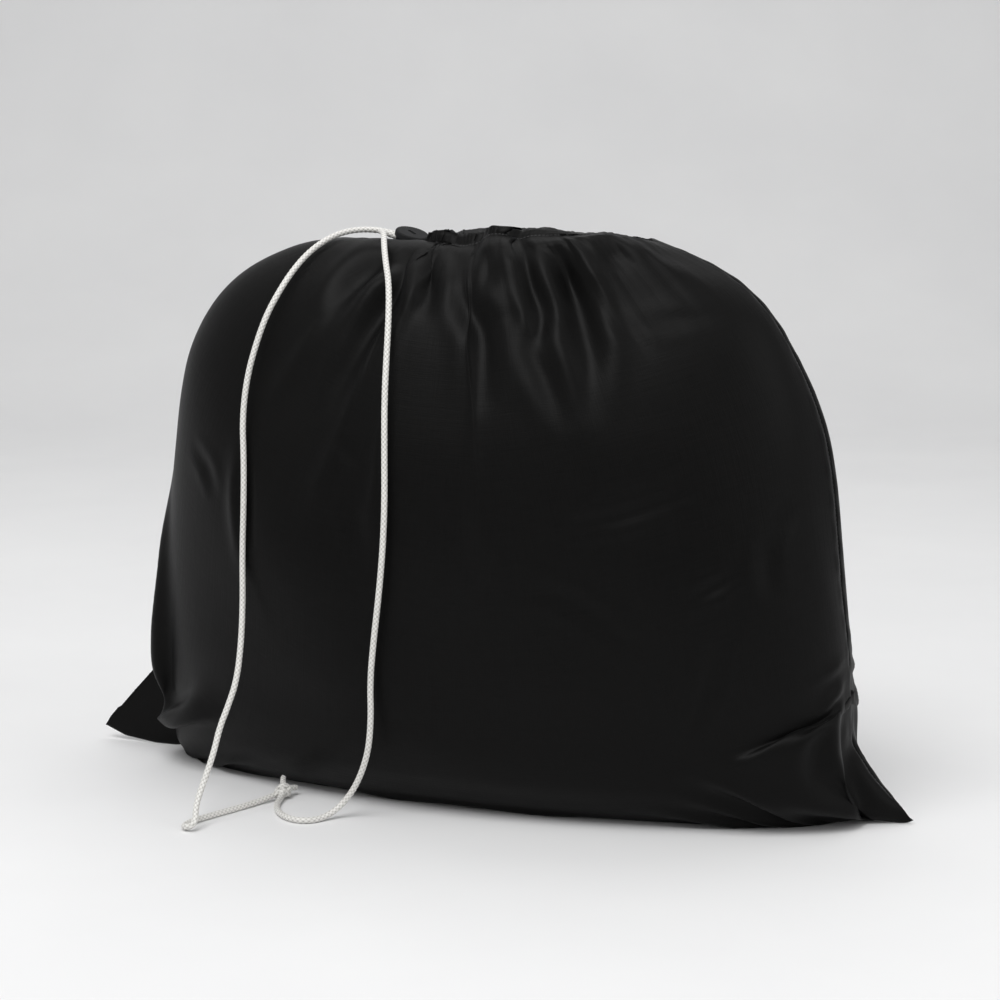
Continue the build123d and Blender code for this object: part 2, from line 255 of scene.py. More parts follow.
def spline_points(route, steps=14):
    # points read from a NURBS spline whose control points are the route
    cu = bpy.data.curves.new("route", "CURVE")
    cu.dimensions = "3D"
    sp = cu.splines.new("NURBS")
    sp.points.add(len(route) - 1)
    for p, q in zip(sp.points, route):
        p.co = (q[0] * MM, q[1] * MM, q[2] * MM, 1)
    sp.order_u = 3
    sp.use_endpoint_u = True
    sp.resolution_u = steps
    ob = bpy.data.objects.new("route", cu)
    link(ob)
    bpy.context.view_layer.update()
    me = bpy.data.meshes.new_from_object(ob)
    pts = np.array([v.co[:] for v in me.vertices])
    bpy.data.objects.remove(ob)
    bpy.data.curves.remove(cu)
    bpy.data.meshes.remove(me)
    return pts


def even(pts, step):
    d = np.r_[0, np.cumsum(np.linalg.norm(np.diff(pts, axis=0), axis=1))]
    n = max(2, int(round(d[-1] / step)) + 1)
    s = np.linspace(0, d[-1], n)
    return np.stack([np.interp(s, d, pts[:, k]) for k in range(3)], 1), s


def frames(c):
    t = np.gradient(c, axis=0)
    t /= np.linalg.norm(t, axis=1, keepdims=True) + 1e-12
    ref = np.array((0.0, -1.0, 0.2)) if abs(t[0] @ np.array((0.0, -1.0, 0.2))) < 0.9 else np.array((0, 0, 1.0))
    n = np.zeros_like(c)
    v = ref - t[0] * (ref @ t[0])
    n[0] = v / np.linalg.norm(v)
    for i in range(1, len(c)):
        v = n[i - 1] - t[i] * (n[i - 1] @ t[i])
        n[i] = v / (np.linalg.norm(v) + 1e-12)
    return t, n, np.cross(t, n)


def braid(name, pts, r=0.002, step=0.0004, around=36, lay=0.0128, ends=4, caps=(True, True), fray=0.0):
    # a round braid: two sets of ribbons wind opposite ways, over one and under one
    c, s = even(pts, step)
    _, n, b = frames(c)
    ph = np.arange(around) / around
    S, F = np.meshgrid(s, ph, indexing="ij")
    a = ends * (F - S / lay)
    o = ends * (F + S / lay)
    fa, fo = a - np.floor(a), o - np.floor(o)
    ra = np.sqrt(np.clip(1 - (2 * fa - 1) ** 2, 0, 1))
    ro = np.sqrt(np.clip(1 - (2 * fo - 1) ** 2, 0, 1))
    top = (np.floor(a) + np.floor(o)) % 2
    # each ribbon rises where it is over and dips where it passes under
    ha = ra * (0.62 + 0.38 * np.where(top > 0.5, np.sin(pi * fo), -0.6 * np.sin(pi * fo)))
    ho = ro * (0.62 + 0.38 * np.where(top < 0.5, np.sin(pi * fa), -0.6 * np.sin(pi * fa)))
    hgt = np.maximum(ha, ho)
    rad = r * (0.79 + 0.23 * hgt)
    ang = 2 * pi * F
    V = c[:, None] + rad[..., None] * (np.cos(ang)[..., None] * n[:, None] + np.sin(ang)[..., None] * b[:, None])
    m, k = S.shape
    along = np.where(ha >= ho, a, o)
    V = V.reshape(-1, 3)
    idx = np.arange(m * k).reshape(m, k)
    q = np.stack([idx[:-1], np.roll(idx, -1, 1)[:-1], np.roll(idx, -1, 1)[1:], idx[1:]], -1).reshape(-1, 4)
    faces = q.tolist()
    extra, height_shade = [], hgt.ravel().tolist()
    bx = (S / lay * 8).ravel().tolist()
    by = (along).ravel().tolist()
    count = len(V)
    for e, on in enumerate(caps):
        if not on:
            continue
        ring = idx[0][::-1] if e == 0 else idx[-1]
        mid = c[0] if e == 0 else c[-1]
        tdir = (c[0] - c[1]) if e == 0 else (c[-1] - c[-2])
        mid = mid + tdir / np.linalg.norm(tdir) * r * 0.25
        extra.append(mid)
        height_shade.append(0.35); bx.append(0.0); by.append(0.0)
        for i in range(k):
            faces.append([int(ring[i]), int(ring[(i + 1) % k]), count])
        count += 1
    if extra:
        V = np.vstack([V, np.array(extra)])
    me = bpy.data.meshes.new(name)
    me.from_pydata(V.tolist(), [], faces)
    me.polygons.foreach_set("use_smooth", [True] * len(me.polygons))
    # the ribbons' height is handed to the material as depth, which paints shade into the gaps between ribbons
    at = me.attributes.new("depth", "FLOAT", "POINT")
    at.data.foreach_set("value", height_shade)
    bt = me.attributes.new("braid", "FLOAT_VECTOR", "POINT")
    bt.data.foreach_set("vector", np.stack([bx, by, np.zeros(len(bx))], 1).ravel())
    me.materials.append(white_braid)
    ob = link(bpy.data.objects.new(name, me))
    return ob, c


path_right = spline_points(right_tail)
path_left = spline_points(left_tail)
path_hem = spline_points(in_hem)
tail_r, line_r = braid("drawcord_right", path_right)
tail_l, line_l = braid("drawcord_left", path_left)
hem_cord, line_h = braid("drawcord_in_hem", path_hem, step=0.0006, around=24)

# the overhand knot: both ends turn once round each other and come out as two cut ends
knot_a = [(-105.2, -101.0, 3.0), (-104.9, -97.5, 4.6), (-106.0, -93.5, 7.2), (-110.3, -90.6, 7.0), (-112.4, -92.4, 3.6),
          (-109.2, -95.6, 2.2), (-104.6, -93.6, 3.2), (-103.6, -89.6, 6.4), (-107.6, -87.4, 7.6), (-110.6, -85.0, 7.6), (-112.8, -80.6, 8.8), (-114.4, -76.6, 9.4)]
knot_b = [(-110.2, -97.6, 3.6), (-107.6, -96.8, 6.2), (-104.2, -94.8, 6.2), (-103.2, -91.0, 3.2), (-106.4, -88.6, 2.4), (-110.4, -89.6, 4.4),
          (-109.6, -92.6, 8.2), (-106.2, -91.4, 8.4), (-104.6, -87.6, 6.2), (-103.8, -84.0, 5.4), (-103.2, -80.8, 5.0)]
kn = []
for i, kr in enumerate((knot_a, knot_b)):
    kp = spline_points(kr)
    ob, _ = braid("knot_%d" % i, kp, r=0.0019, step=0.0004, around=28)
    kn.append(ob)
with bpy.context.temp_override(active_object=kn[0], selected_editable_objects=kn, selected_objects=kn):
    bpy.ops.object.join()
knot = kn[0]
knot.name = "drawcord_end_knot"
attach(tail_r, "bag"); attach(tail_l, "bag"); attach(knot, "bag"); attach(hem_cord, "bag")
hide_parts("drawcord_right_tail")
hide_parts("drawcord_left_tail")
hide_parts("drawcord_knot")
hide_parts("drawcord_channel")


def run_length(p):
    return float(np.linalg.norm(np.diff(p, axis=0), axis=1).sum())


print("tail lengths", run_length(path_right), run_length(path_left))

# ------------------------------------------------------------------ cloth: two flat panels, sewn, filled and drawn in
PANEL_W, PANEL_H = 590.0, 500.0          # mm, one panel as cut and hemmed
# the load's level, half width, half depth and centre
lev = np.array([0, 6, 14, 30, 60, 100, 150, 200, 240, 270, 300, 320, 335, 347, 356, 362, 366, 369.0])
half_w = np.array([239, 242, 244, 243.5, 242, 240, 238, 235, 229, 220.5, 208, 197, 184, 168, 149.5, 134, 113, 88.0])
half_d = np.array([60, 74, 84, 96, 107, 112, 112.5, 108, 101, 92, 81, 70.5, 60.5, 49, 38.5, 31, 24, 16.0])
mid_x = np.array([12, 12, 12, 11.5, 10, 9, 6.5, 4.5, 4, 3, 1.6, 1, 0.5, 1, 2, 3, 12, 22.0])
zt = np.linspace(-10, 372, 765)


def smooth_table(y):
    x, d = lev, np.diff(y) / np.diff(lev)
    m = np.zeros_like(y)
    m[1:-1] = np.where(d[:-1] * d[1:] > 0, 2 * d[:-1] * d[1:] / (d[:-1] + d[1:] + 1e-12), 0)
    m[0], m[-1] = d[0], d[-1]
    z = np.clip(zt, x[0], x[-1])
    k = np.clip(np.searchsorted(x, z, side="right") - 1, 0, len(x) - 2)
    hh = x[k + 1] - x[k]
    t = (z - x[k]) / hh
    return ((2 * t**3 - 3 * t**2 + 1) * y[k] + (t**3 - 2 * t**2 + t) * hh * m[k]
            + (-2 * t**3 + 3 * t**2) * y[k + 1] + (t**3 - t**2) * hh * m[k + 1])


TA, TB, TC = smooth_table(half_w), smooth_table(half_d), smooth_table(mid_x)


def look(z, T):
    f = (np.clip(z, -10, 371.4) + 10) * 2
    i = f.astype(int)
    f = f - i
    return T[i] * (1 - f) + T[i + 1] * f


def rho(P, grow=0.0):
    x0, y0 = P[..., 0] + 52.0, P[..., 1] - 4.0
    x1, y1 = (P[..., 0] - 78.0) / 46.0, (np.abs(P[..., 1]) - 30.0) / 13.0
    up = np.clip((P[..., 2] - 325) / 20, 0, 1)
    # a dip under the lock, and the load bulging up beside the mouth's right half
    z = P[..., 2] + (11.0 * np.exp(-(x0 / 27.0) ** 2 - (y0 / 13.5) ** 2) - 13.0 * np.exp(-x1 * x1 - y1 * y1)) * up
    a, b, c = look(z, TA) + grow, look(z, TB) + grow, look(z, TC)
    x, y = (P[..., 0] - c) / a, P[..., 1] / b
    return np.sqrt(x * x + y * y) + 1e-9


def lump(P):
    x, y, z = P[..., 0], P[..., 1], P[..., 2]
    s = np.where(y < 0, 1.0, -1.0)
    return (1.8 * np.sin(x / 41. + 1.3 * s + z / 57.) + 1.5 * np.sin(z / 38. - x / 67. + 2. * s) + 1.1 * np.sin(x / 23. + z / 31. + s * .7))


def out_of_load(P, grow=0.0):
    g = grow + lump(P) * np.clip((P[..., 2] - 20) / 60, 0, 1) * np.clip((345 - P[..., 2]) / 60, 0, 1)
    r = rho(P, g)
    idx = np.nonzero((r < 1) & (P[..., 2] < 371))
    if len(idx[0]) == 0:
        return
    Q, gq, r0, e = P[idx], g[idx], r[idx], 0.5
    G = np.empty_like(Q)
    for k in range(3):
        D = Q.copy()
        D[:, k] += e
        G[:, k] = (rho(D, gq) - r0) / e
    step = ((1 - r0) / ((G * G).sum(1) + 1e-12))[:, None] * G
    L = np.linalg.norm(step, axis=1, keepdims=True)
    P[idx] = Q + step * np.minimum(1, 4.0 / (L + 1e-9))


ring_half = [(-31, 0), (-28, -5.8), (-18, -8.2), (-4, -14.6), (14, -19.5), (40, -21), (66, -20), (86, -17), (98, -12.5), (103, -7), (104, 0)]
ring_pts = np.array(ring_half + [(x, -y) for x, y in ring_half[-2::-1]], float)
ring_d = np.r_[0, np.cumsum(np.linalg.norm(np.diff(ring_pts, axis=0), axis=1))]
# where the cloth sits round the mouth: bunched at the lock's end, easier to the right
bunch_t = np.array([0, .20, .36, .45, .565, .70, .825, 1.0])
bunch_s = np.array([0, .035, .085, .13, .285, .46, .70, 1.0])


def mouth(par):
    # par 0..1 round the front half from the left seam to the right one, 1..2 back by the rear
    s = np.where(par <= 1, np.interp(par, bunch_t, bunch_s), 2 - np.interp(2 - par, bunch_t, bunch_s))
    d = s / 2 * ring_d[-1]
    return np.interp(d, ring_d, ring_pts[:, 0]), np.interp(d, ring_d, ring_pts[:, 1])


def ring_level(x):
    return np.interp(x, [-31, -18, -4, 14, 40, 66, 86, 104], [361.8, 364.4, 366.4, 367.4, 366.6, 364.6, 363.2, 362.6])


edge_x = [-33, -30, -26, -20, -12, -8.5, -4, 3, 9, 11.5, 14, 19, 26, 33, 37, 40, 47, 60, 73, 87, 104]
edge_z = [366, 370.5, 373.5, 373.5, 371.5, 369.6, 371, 372, 371.4, 369.8, 373, 376, 375.6, 374, 371.8, 373, 373.6, 373, 371.5, 369.5, 367.5]


def hem_edge(x, y):
    # how far the hem's edge stands above the cord: it rises and falls with the gathers
    s = np.where(y < 0, 0.0, 2.1)
    laid = np.interp(x, edge_x, edge_z) - ring_level(x)
    loose = np.clip(laid, 4.8, 12)
    return np.where(y < 0, loose, 6.3 + 1.2 * np.sin(x / 7.2 + 1.1 + s) + 0.4 * np.sin(x / 3.1 + s))


valley_front = np.array([.05, .15, .24, .335, .39, .45, .56, .635, .70, .83, .92])
valley_back = 1 + np.array([.04, .13, .21, .29, .38, .45, .53, .60, .68, .76, .84, .92])
big = {.335: 1.3, .39: 1.3, .45: 1.5, .56: 1.3, .635: 1.1, .7: 1.6}


def keep_share(t, v):
    # share of its width that the cloth keeps as it is drawn in; the rest is gathered too finely to model as folds
    hem = np.interp(t, [0, .2, .36, .45, .57, .7, .85, 1.0], [.10, .12, .17, .28, .46, .50, .52, .46])
    k = np.interp(v, [0, 300, 350, 390, 420, 450, 472, 486, 500], [0, 0, .03, .12, .28, .55, .82, .97, 1.0])
    return 1 - k * (1 - hem)


def weave_grid(h):
    NU, NV = int(round(2 * PANEL_W / h)), int(round(PANEL_H / h)) + 1
    i, j = np.arange(NU), np.arange(NV)
    par = i / (NU / 2)
    front = par <= 1
    t = np.where(front, par, 2 - par)
    return NU, NV, par, front, t, j * h


def first_shape(h, rng):
    NU, NV, par, front, t, v = weave_grid(h)
    xl = -PANEL_W / 2 + PANEL_W * t
    z = np.interp(v, [0, 57, 75, 135, 225, 300, 378, 415, 447, 468, 482, 490, 500],
                  [0.6, 0.6, 12, 60, 150, 225, 300, 338, 358, 364, 365, 367, 373])
    P = np.zeros((NV, NU, 3))
    th = np.linspace(0, pi, 721)
    rx, ry = mouth(par)
    for r in range(NV):
        zz = np.array(min(z[r], 364.0))
        a, b, c = float(look(zz, TA)), float(look(zz, TB)), float(look(zz, TC))
        ex, ey = -np.cos(th) * a, np.sin(th) * b
        d = np.r_[0, np.cumsum(np.hypot(np.diff(ex), np.diff(ey)))]
        d /= d[-1]
        kz = np.clip((z[r] - 120) / 160, 0, 1)
        kz = kz * kz * (3 - 2 * kz)
        pf = np.where(front, (t - 0.075 * kz * t ** 2) / 2, 1 - t * (1 - 0.5 * (1 - 0.075 * kz)))
        ts, sd = np.where(pf <= 0.5, pf * 2, 2 - pf * 2), np.where(pf <= 0.5, -1.0, 1.0)
        x, y = np.interp(ts, d, ex) + c, np.interp(ts, d, ey) * sd
        if v[r] < 57:
            k = v[r] / 57
            x, y = xl * (1 - k) + x * k, y * k
        if v[r] < 100:
            k = v[r] / 100
            x = x * k + xl * (1 - k)
        if v[r] > 395:
            k = np.clip((v[r] - 395) / 90, 0, 1) ** 1.4
            x, y = x * (1 - k) + rx * k, y * (1 - k) + ry * k
        P[r, :, 0], P[r, :, 1], P[r, :, 2] = x, y, z[r]
    # pleats follow the drawn-in width, with valleys where the folds run
    val = np.r_[valley_front, valley_back]
    ext = np.r_[val[-1] - 2, val, val[0] + 2]
    ph = (np.interp(par, ext, np.arange(-1, len(val) + 1)) - 0.25) * 2 * pi
    size = np.interp(par, ext, [big.get(round(float(x), 3), 0.75) for x in np.r_[val[-1], val, val[0]]])
    amp = np.interp(v, [0, 240, 300, 360, 420, 450, 475, 488, 500], [0, 0, 2, 5, 8, 8, 6, 3.5, 3.5])
    nx, ny = P[:, :, 0] - 10, P[:, :, 1] * 2.2
    ln = np.hypot(nx, ny) + 1e-9
    P[:, :, 0] += amp[:, None] * (np.sin(ph) * size)[None] * nx / ln
    P[:, :, 1] += amp[:, None] * (np.sin(ph) * size)[None] * ny / ln
    P += rng.normal(0, 0.15, P.shape)
    return P


def finer(P):
    # halves the grid's step: a smooth curve through the points, round the tube and up the panels
    def mid(a, b, c, d):
        return (9 * (b + c) - (a + d)) / 16
    R = np.empty((P.shape[0], P.shape[1] * 2, 3))
    R[:, 0::2] = P
    R[:, 1::2] = mid(np.roll(P, 1, 1), P, np.roll(P, -1, 1), np.roll(P, -2, 1))
    E = np.concatenate([2 * R[:1] - R[1:2], R, 2 * R[-1:] - R[-2:-1]])
    S = np.empty((2 * R.shape[0] - 1, R.shape[1], 3))
    S[0::2] = R
    S[1::2] = mid(E[:-3], E[1:-2], E[2:-1], E[3:])
    return S


def relax(P, h, iters, kb, damp=0.93, cords=()):
    NU, NV, par, front, t, v = weave_grid(h)
    half = NU // 2
    rx, ry = mouth(par)
    rz = ring_level(rx)
    tx, ty = np.roll(rx, -1) - np.roll(rx, 1), np.roll(ry, -1) - np.roll(ry, 1)
    ln = np.hypot(tx, ty) + 1e-9
    tx, ty = tx / ln, ty / ln
    nx, ny = ty, -tx
    sg = np.sign((rx - 36) * nx + ry * ny)
    nx, ny = nx * sg, ny * sg
    keep = keep_share(t[None, :], v[:, None])
    wide = h * 0.5 * (keep + np.roll(keep, -1, axis=1))          # rest width, each column to the next
    V = np.zeros_like(P)
    row_of = {d: NV - 1 - int(round(d / h)) for d in (0, 5, 10)}
    cord_row, low_rows = row_of[5], int(round(230 / h))
    flat_rows = int(round(200 / h))
    # the corners' two layers of seam lie stiffer than the cloth
    corner = np.exp(-(np.minimum(t, 1 - t)[None, :] * PANEL_W / 55) ** 2 - (v[:, None] / 60) ** 2)
    kmap = (kb + (0.12 - kb) * corner)[..., None]
    yr = slice(int(round(60 / h)), int(round(440 / h)))

    def pull(A, B, rest, k, slack=1.0):
        d = B - A
        L = np.sqrt((d * d).sum(-1)) + 1e-9
        c = (L - rest) / L
        if slack != 1.0:
            c = np.where(c < 0, c * slack, c)
        d *= (0.5 * k * c)[..., None]
        A += d
        B -= d

    dg = np.sqrt(wide[:-1] ** 2 + h * h)
    edge = hem_edge(rx, ry)
    # the side seams run down to the corners' tips
    low = int(round(120 / h)) + 1

    def seam_line(pts):
        pts = np.array(pts, float)
        d = np.r_[0, np.cumsum(np.hypot(*np.diff(pts, axis=0).T))]
        return np.stack([np.interp(v[:low], d, pts[:, 0]), 0 * v[:low], np.interp(v[:low], d, pts[:, 1])], 1)

    ear_l = seam_line([(-294.5, 10), (-290, 17), (-262, 49), (-243, 70), (-235, 92), (-232, 130)])
    ear_r = seam_line([(294.5, 3), (290, 9), (268, 30), (254, 50), (250.5, 75), (248, 125)])
    ear_k = 0.7 * np.clip((110 - v[:low]) / 40, 0, 1)[:, None]
    for it in range(iters):
        V *= damp
        V[..., 2] -= 0.010
        X = P + V
        for sub in range(2):
            pull(X[:, 0::2], X[:, 1::2], wide[:, 0::2], 1.0)
            Bv = np.roll(X, -1, axis=1)
            A1, B1 = X[:, 1::2].copy(), Bv[:, 1::2].copy()
            pull(A1, B1, wide[:, 1::2], 1.0)
            X[:, 1::2] = A1
            X[:, 2::2] = B1[:, :-1]
            X[:, 0] = B1[:, -1]
            n2 = (NV // 2) * 2
            pull(X[0:n2:2], X[1:n2:2], h, 1.0)
            m2 = 1 + ((NV - 1) // 2) * 2
            pull(X[1:m2:2], X[2:m2 + 1:2], h, 1.0)
            for a0 in (0, 1):
                n = (NV - a0) // 2
                for turn in (-1, 1):
                    A = X[a0:a0 + 2 * n - 1:2].copy()
                    B = np.roll(X[a0 + 1:a0 + 2 * n:2], turn, axis=1)
                    w = dg[a0:a0 + 2 * n - 1:2]
                    w = w if turn == -1 else np.roll(w, 1, axis=1)
                    pull(A, B, w, 0.25)
                    X[a0:a0 + 2 * n - 1:2] = A
                    X[a0 + 1:a0 + 2 * n:2] = np.roll(B, -turn, axis=1)
            X += kmap * (0.5 * (np.roll(X, 1, axis=1) + np.roll(X, -1, axis=1)) - X)
            X[1:-1] += kmap[1:-1] * (0.5 * (X[:-2] + X[2:]) - X[1:-1])
            b0 = 0.5 * (X[0, 1:half] + X[0, :half:-1])
            b0[:, 1] *= 0.3
            b0[:, 2] = np.maximum(b0[:, 2], 0.4)
            X[0, 1:half] = b0
            X[0, :half:-1] = b0
            out_of_load(X, 0.6)
            for cz, cx, cy in cords:
                S = X[yr, :half]
                zq = np.clip(S[..., 2], cz[0], cz[-1])
                lat = np.abs(S[..., 0] - np.interp(zq, cz, cx))
                back_to = np.interp(zq, cz, cy) + 3.0 - np.clip(lat - 3.0, 0, 9) * 0.8
                m = (lat < 9) & (S[..., 1] < back_to) & (S[..., 2] < cz[-1]) & (S[..., 1] < -25)
                S[..., 1] = np.where(m, S[..., 1] + 0.6 * (back_to - S[..., 1]), S[..., 1])
            np.maximum(X[..., 2], 0.3, out=X[..., 2])
            fy = X[:low_rows, 1:half, 1]
            np.minimum(fy, -0.35, out=fy)
            by = X[:low_rows, half + 1:, 1]
            np.maximum(by, 0.35, out=by)
            X[:flat_rows, 0, 1] *= 0.5
            X[:flat_rows, half, 1] *= 0.5
            X[:low, 0] += ear_k * (ear_l - X[:low, 0])
            X[:low, half] += ear_k * (ear_r - X[:low, half])
            X[0, 0] += 0.3 * (np.array([-294.5, 0, 10.0]) - X[0, 0])
            X[0, half] += 0.3 * (np.array([294.5, 0, 3.0]) - X[0, half])
            # no cloth beyond the corners' outline or far off the filled sides
            zc = X[..., 2]
            lo_x = np.interp(zc, [3, 10, 17, 49, 70, 92, 130, 200], [-294.5, -294.5, -290, -262, -244, -236, -233, -234])
            hi_x = np.interp(zc, [3, 9, 30, 50, 75, 100, 150, 200], [294.5, 290, 268, 254.5, 252, 250.5, 247.5, 243])
            np.maximum(X[..., 0], lo_x, out=X[..., 0])
            np.minimum(X[..., 0], hi_x, out=X[..., 0])
            # the hem stays outside the cord and near it
            for d, lo, hi, dz in ((10, 2.5, 13.0, -4.5), (5, 2.9, 10.0, 0.2), (0, 0.8, 8.0, 5.2)):
                row = X[row_of[d]]
                ox, oy = row[:, 0] - rx, row[:, 1] - ry
                al, pr = ox * tx + oy * ty, ox * nx + oy * ny
                al = np.clip(al, -9, 9) * 0.8
                pr = np.clip(pr, lo - 2.5, hi - 2.5)
                row[:, 0] = rx + al * tx + pr * nx
                row[:, 1] = ry + al * ty + pr * ny
                row[:, 2] += 0.5 * (rz + (edge if d == 0 else dz) - row[:, 2])
        V = X - P
        vl = np.sqrt((V * V).sum(-1, keepdims=True))
        V *= np.minimum(1, 2.0 / (vl + 1e-9))
        P = X
    return P


def drape(coarse=260, fine=170, cords=()):
    rng = np.random.default_rng(11)
    P = relax(first_shape(10.0, rng), 10.0, coarse, 0.22, cords=cords)
    return relax(finer(P), 5.0, fine, 0.12, cords=cords)

LOCK_TRAVEL = 4.0


def hanging(line, lo=25.0, hi=352.0):
    # the stretch of a tail that hangs down the front, as x and y by level
    q = line / MM
    k = int(np.argmax(q[:, 2] < 60))
    q = q[:k][q[:k, 2] < hi][::-1]
    z = np.maximum.accumulate(q[:, 2])
    return z, q[:, 0], q[:, 1]


hung = (hanging(line_r), hanging(line_l))
cloth = finer(drape(*(((420, 300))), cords=hung))
NV, NU = cloth.shape[:2]
HALF = NU // 2
STEP = 2.5
par = np.arange(NU) / HALF
tcol = np.where(par <= 1, par, 2 - par)
vrow = np.arange(NV) * STEP


def normals(P):
    du = np.roll(P, -1, 1) - np.roll(P, 1, 1)
    dv = np.gradient(P, axis=0)
    n = np.cross(du, dv)
    n /= np.linalg.norm(n, axis=2, keepdims=True) + 1e-9
    return n


def outward(P):
    # the load's own outward direction, which folds don't disturb
    r0 = rho(P)
    G = np.empty_like(P)
    for k in range(3):
        D = P.copy()
        D[..., k] += 1.0
        G[..., k] = rho(D) - r0
    G[..., 2] = np.clip(G[..., 2], 0, None) * (P[..., 2] > 60)
    return G / (np.linalg.norm(G, axis=2, keepdims=True) + 1e-9)


def smooth(P, times, amount, weight=None):
    for _ in range(times):
        A = 0.5 * (np.roll(P, 1, 1) + np.roll(P, -1, 1)) - P
        A[1:-1] = 0.5 * A[1:-1] + 0.5 * (0.5 * (P[:-2] + P[2:]) - P[1:-1])
        P += amount * (A if weight is None else A * weight)
    return P


def behind_tails(P):
    # the front lies behind the two hanging tails, with room for the cord
    for cz, cx, cy in hung:
        zq = np.clip(P[..., 2], cz[0], cz[-1])
        lat = np.abs(P[..., 0] - np.interp(zq, cz, cx))
        lim = np.interp(zq, cz, cy) + 3.0 - np.clip(lat - 3.0, 0, 14) * 0.75
        m = (lat < 14) & (P[..., 1] < lim) & (P[..., 2] < cz[-1] + 4) & (P[..., 1] < -22) & (P[..., 2] > 22)
        P[..., 1] = np.where(m, lim, P[..., 1])


def fold(P, N, line, depth, width, side=-1.0, ridge=0.35):
    # a crease: line in (x, z), millimetres on the front; depth at its points
    n = len(line)
    line = np.array([line[0]] + list(line) + [line[-1]], float)
    at = np.linspace(0, n - 1, 4 * n)
    i = np.minimum(at.astype(int), n - 2)
    f = (at - i)[:, None]
    A, B, C, D = line[i], line[i + 1], line[i + 2], line[i + 3]
    line = 0.5 * (2 * B + (C - A) * f + (2 * A - 5 * B + 4 * C - D) * f**2 + (3 * B - A - 3 * C + D) * f**3)
    a, b = line[:-1, :2], line[1:, :2]
    w = np.interp(at, np.linspace(0, n - 1, len(width)), width)
    d = np.interp(at, np.linspace(0, n - 1, len(depth)), depth)
    X = P[..., (0, 2)]
    best = np.full(P.shape[:2], 1e9)
    amount = np.zeros(P.shape[:2])
    wide = np.ones(P.shape[:2])
    sgn = np.zeros(P.shape[:2])
    for k in range(len(a)):
        e = b[k] - a[k]
        L = np.hypot(*e)
        q = X - a[k]
        s = (q @ e) / (L * L)
        sc = np.clip(s, 0, 1)
        off = q - sc[..., None] * e
        dist = np.hypot(off[..., 0], off[..., 1])
        m = dist < best
        best = np.where(m, dist, best)
        amount = np.where(m, d[k] + (d[k + 1] - d[k]) * sc, amount)
        wide = np.where(m, w[k] + (w[k + 1] - w[k]) * sc, wide)
        sgn = np.where(m, np.sign(q[..., 0] * e[1] - q[..., 1] * e[0]), sgn)
    u = best / wide
    shape = -np.exp(-(u ** 2) * 2.2) + ridge * np.exp(-((u - 1.35) ** 2) * 3.0)
    near = (P[..., 1] * side > 4.0) & (best < wide * 3.2)
    low = np.clip((478 - vrow) / 22, 0, 1)[:, None]
    P += np.where(near, amount * shape * low, 0)[..., None] * N


folds = [
    # (x, z) points, depth at them, width at them, the ridge beside it
    ([(-31, 371), (-23, 367), (-20, 353), (-15, 336), (-13, 320)], [6, 9, 9, 5, 0], [6, 7, 8, 9, 9], .45),
    ([(-37, 362), (-51, 355), (-67, 345), (-75, 332), (-80, 316)], [2, 6, 8, 5, 0], [8, 10, 12, 12, 10], .4),
    ([(-30, 362), (-35, 354), (-39, 335), (-52, 308), (-62, 282), (-70, 255)], [3, 6, 7, 6, 4, 0], [7, 9, 11, 12, 12, 10], .4),
    ([(13, 375), (16, 368), (21, 356), (25, 346), (23, 333)], [4, 7, 7, 5, 0], [5, 6, 7, 8, 8], .3),
    ([(4, 341), (14, 329), (27, 314), (33, 290), (36, 264)], [0, 5, 7, 4, 0], [9, 10, 11, 12, 12], .3),
    ([(40, 352), (56, 337), (66, 325), (64, 308), (74, 290), (82, 276), (94, 255)], [0, 4, 6, 5, 6, 5, 0], [7, 8, 9, 9, 10, 10, 9], .3),
    ([(37, 376), (43, 370), (61, 361), (75, 346), (86, 328), (98, 303), (102, 285), (106, 260)], [4, 8, 10, 10, 8, 6, 3, 0], [6, 7, 9, 10, 11, 11, 10, 9], .5),
    ([(84, 365), (94, 361), (104, 357), (108, 351)], [0, 5, 5, 0], [9, 12, 11, 9], .5),
    ([(102, 331), (118, 317), (138, 299)], [0, 1.8, 0], [5, 5, 5], .6),
    ([(122, 321), (146, 322), (172, 324)], [0, 1.8, 0], [5, 6, 5], .6),
    ([(92, 197), (130, 206), (173, 222)], [0, 1.5, 0], [6, 7, 6], .6),
    ([(166, 152), (182, 161), (198, 173)], [0, 1.8, 0], [5, 6, 5], .6),
    ([(184, 130), (180, 98), (169, 66)], [0, 2.0, 0], [6, 7, 6], .5),
    ([(-70, 246), (-52, 235), (-36, 227)], [0, 0.9, 0], [6, 7, 6], .6),
    ([(-44, 222), (-49, 200), (-41, 178)], [0, 0.7, 0], [7, 8, 7], .6),
    ([(140, 120), (100, 150), (70, 158)], [0, 1.3, 0], [7, 8, 7], .6),
    ([(222, 210), (210, 180), (214, 150)], [0, 1.8, 0], [6, 7, 6], .5),
    ([(-190, 230), (-170, 215), (-160, 196)], [0, 1.4, 0], [6, 7, 6], .5),
]

# the corners hang in clean soft folds, and sharp pinches in the rest relax
edge_far = np.minimum(tcol, 1 - tcol)[None, :] * PANEL_W
corner = np.exp(-(edge_far / 85) ** 2 - (vrow[:, None] / 75) ** 2)
hold = np.ones_like(corner)
hold[0] = 0
hold[:, 0] *= 0.1
hold[:, HALF] *= 0.1
smooth(cloth, 36, 0.5, (corner * hold)[..., None])
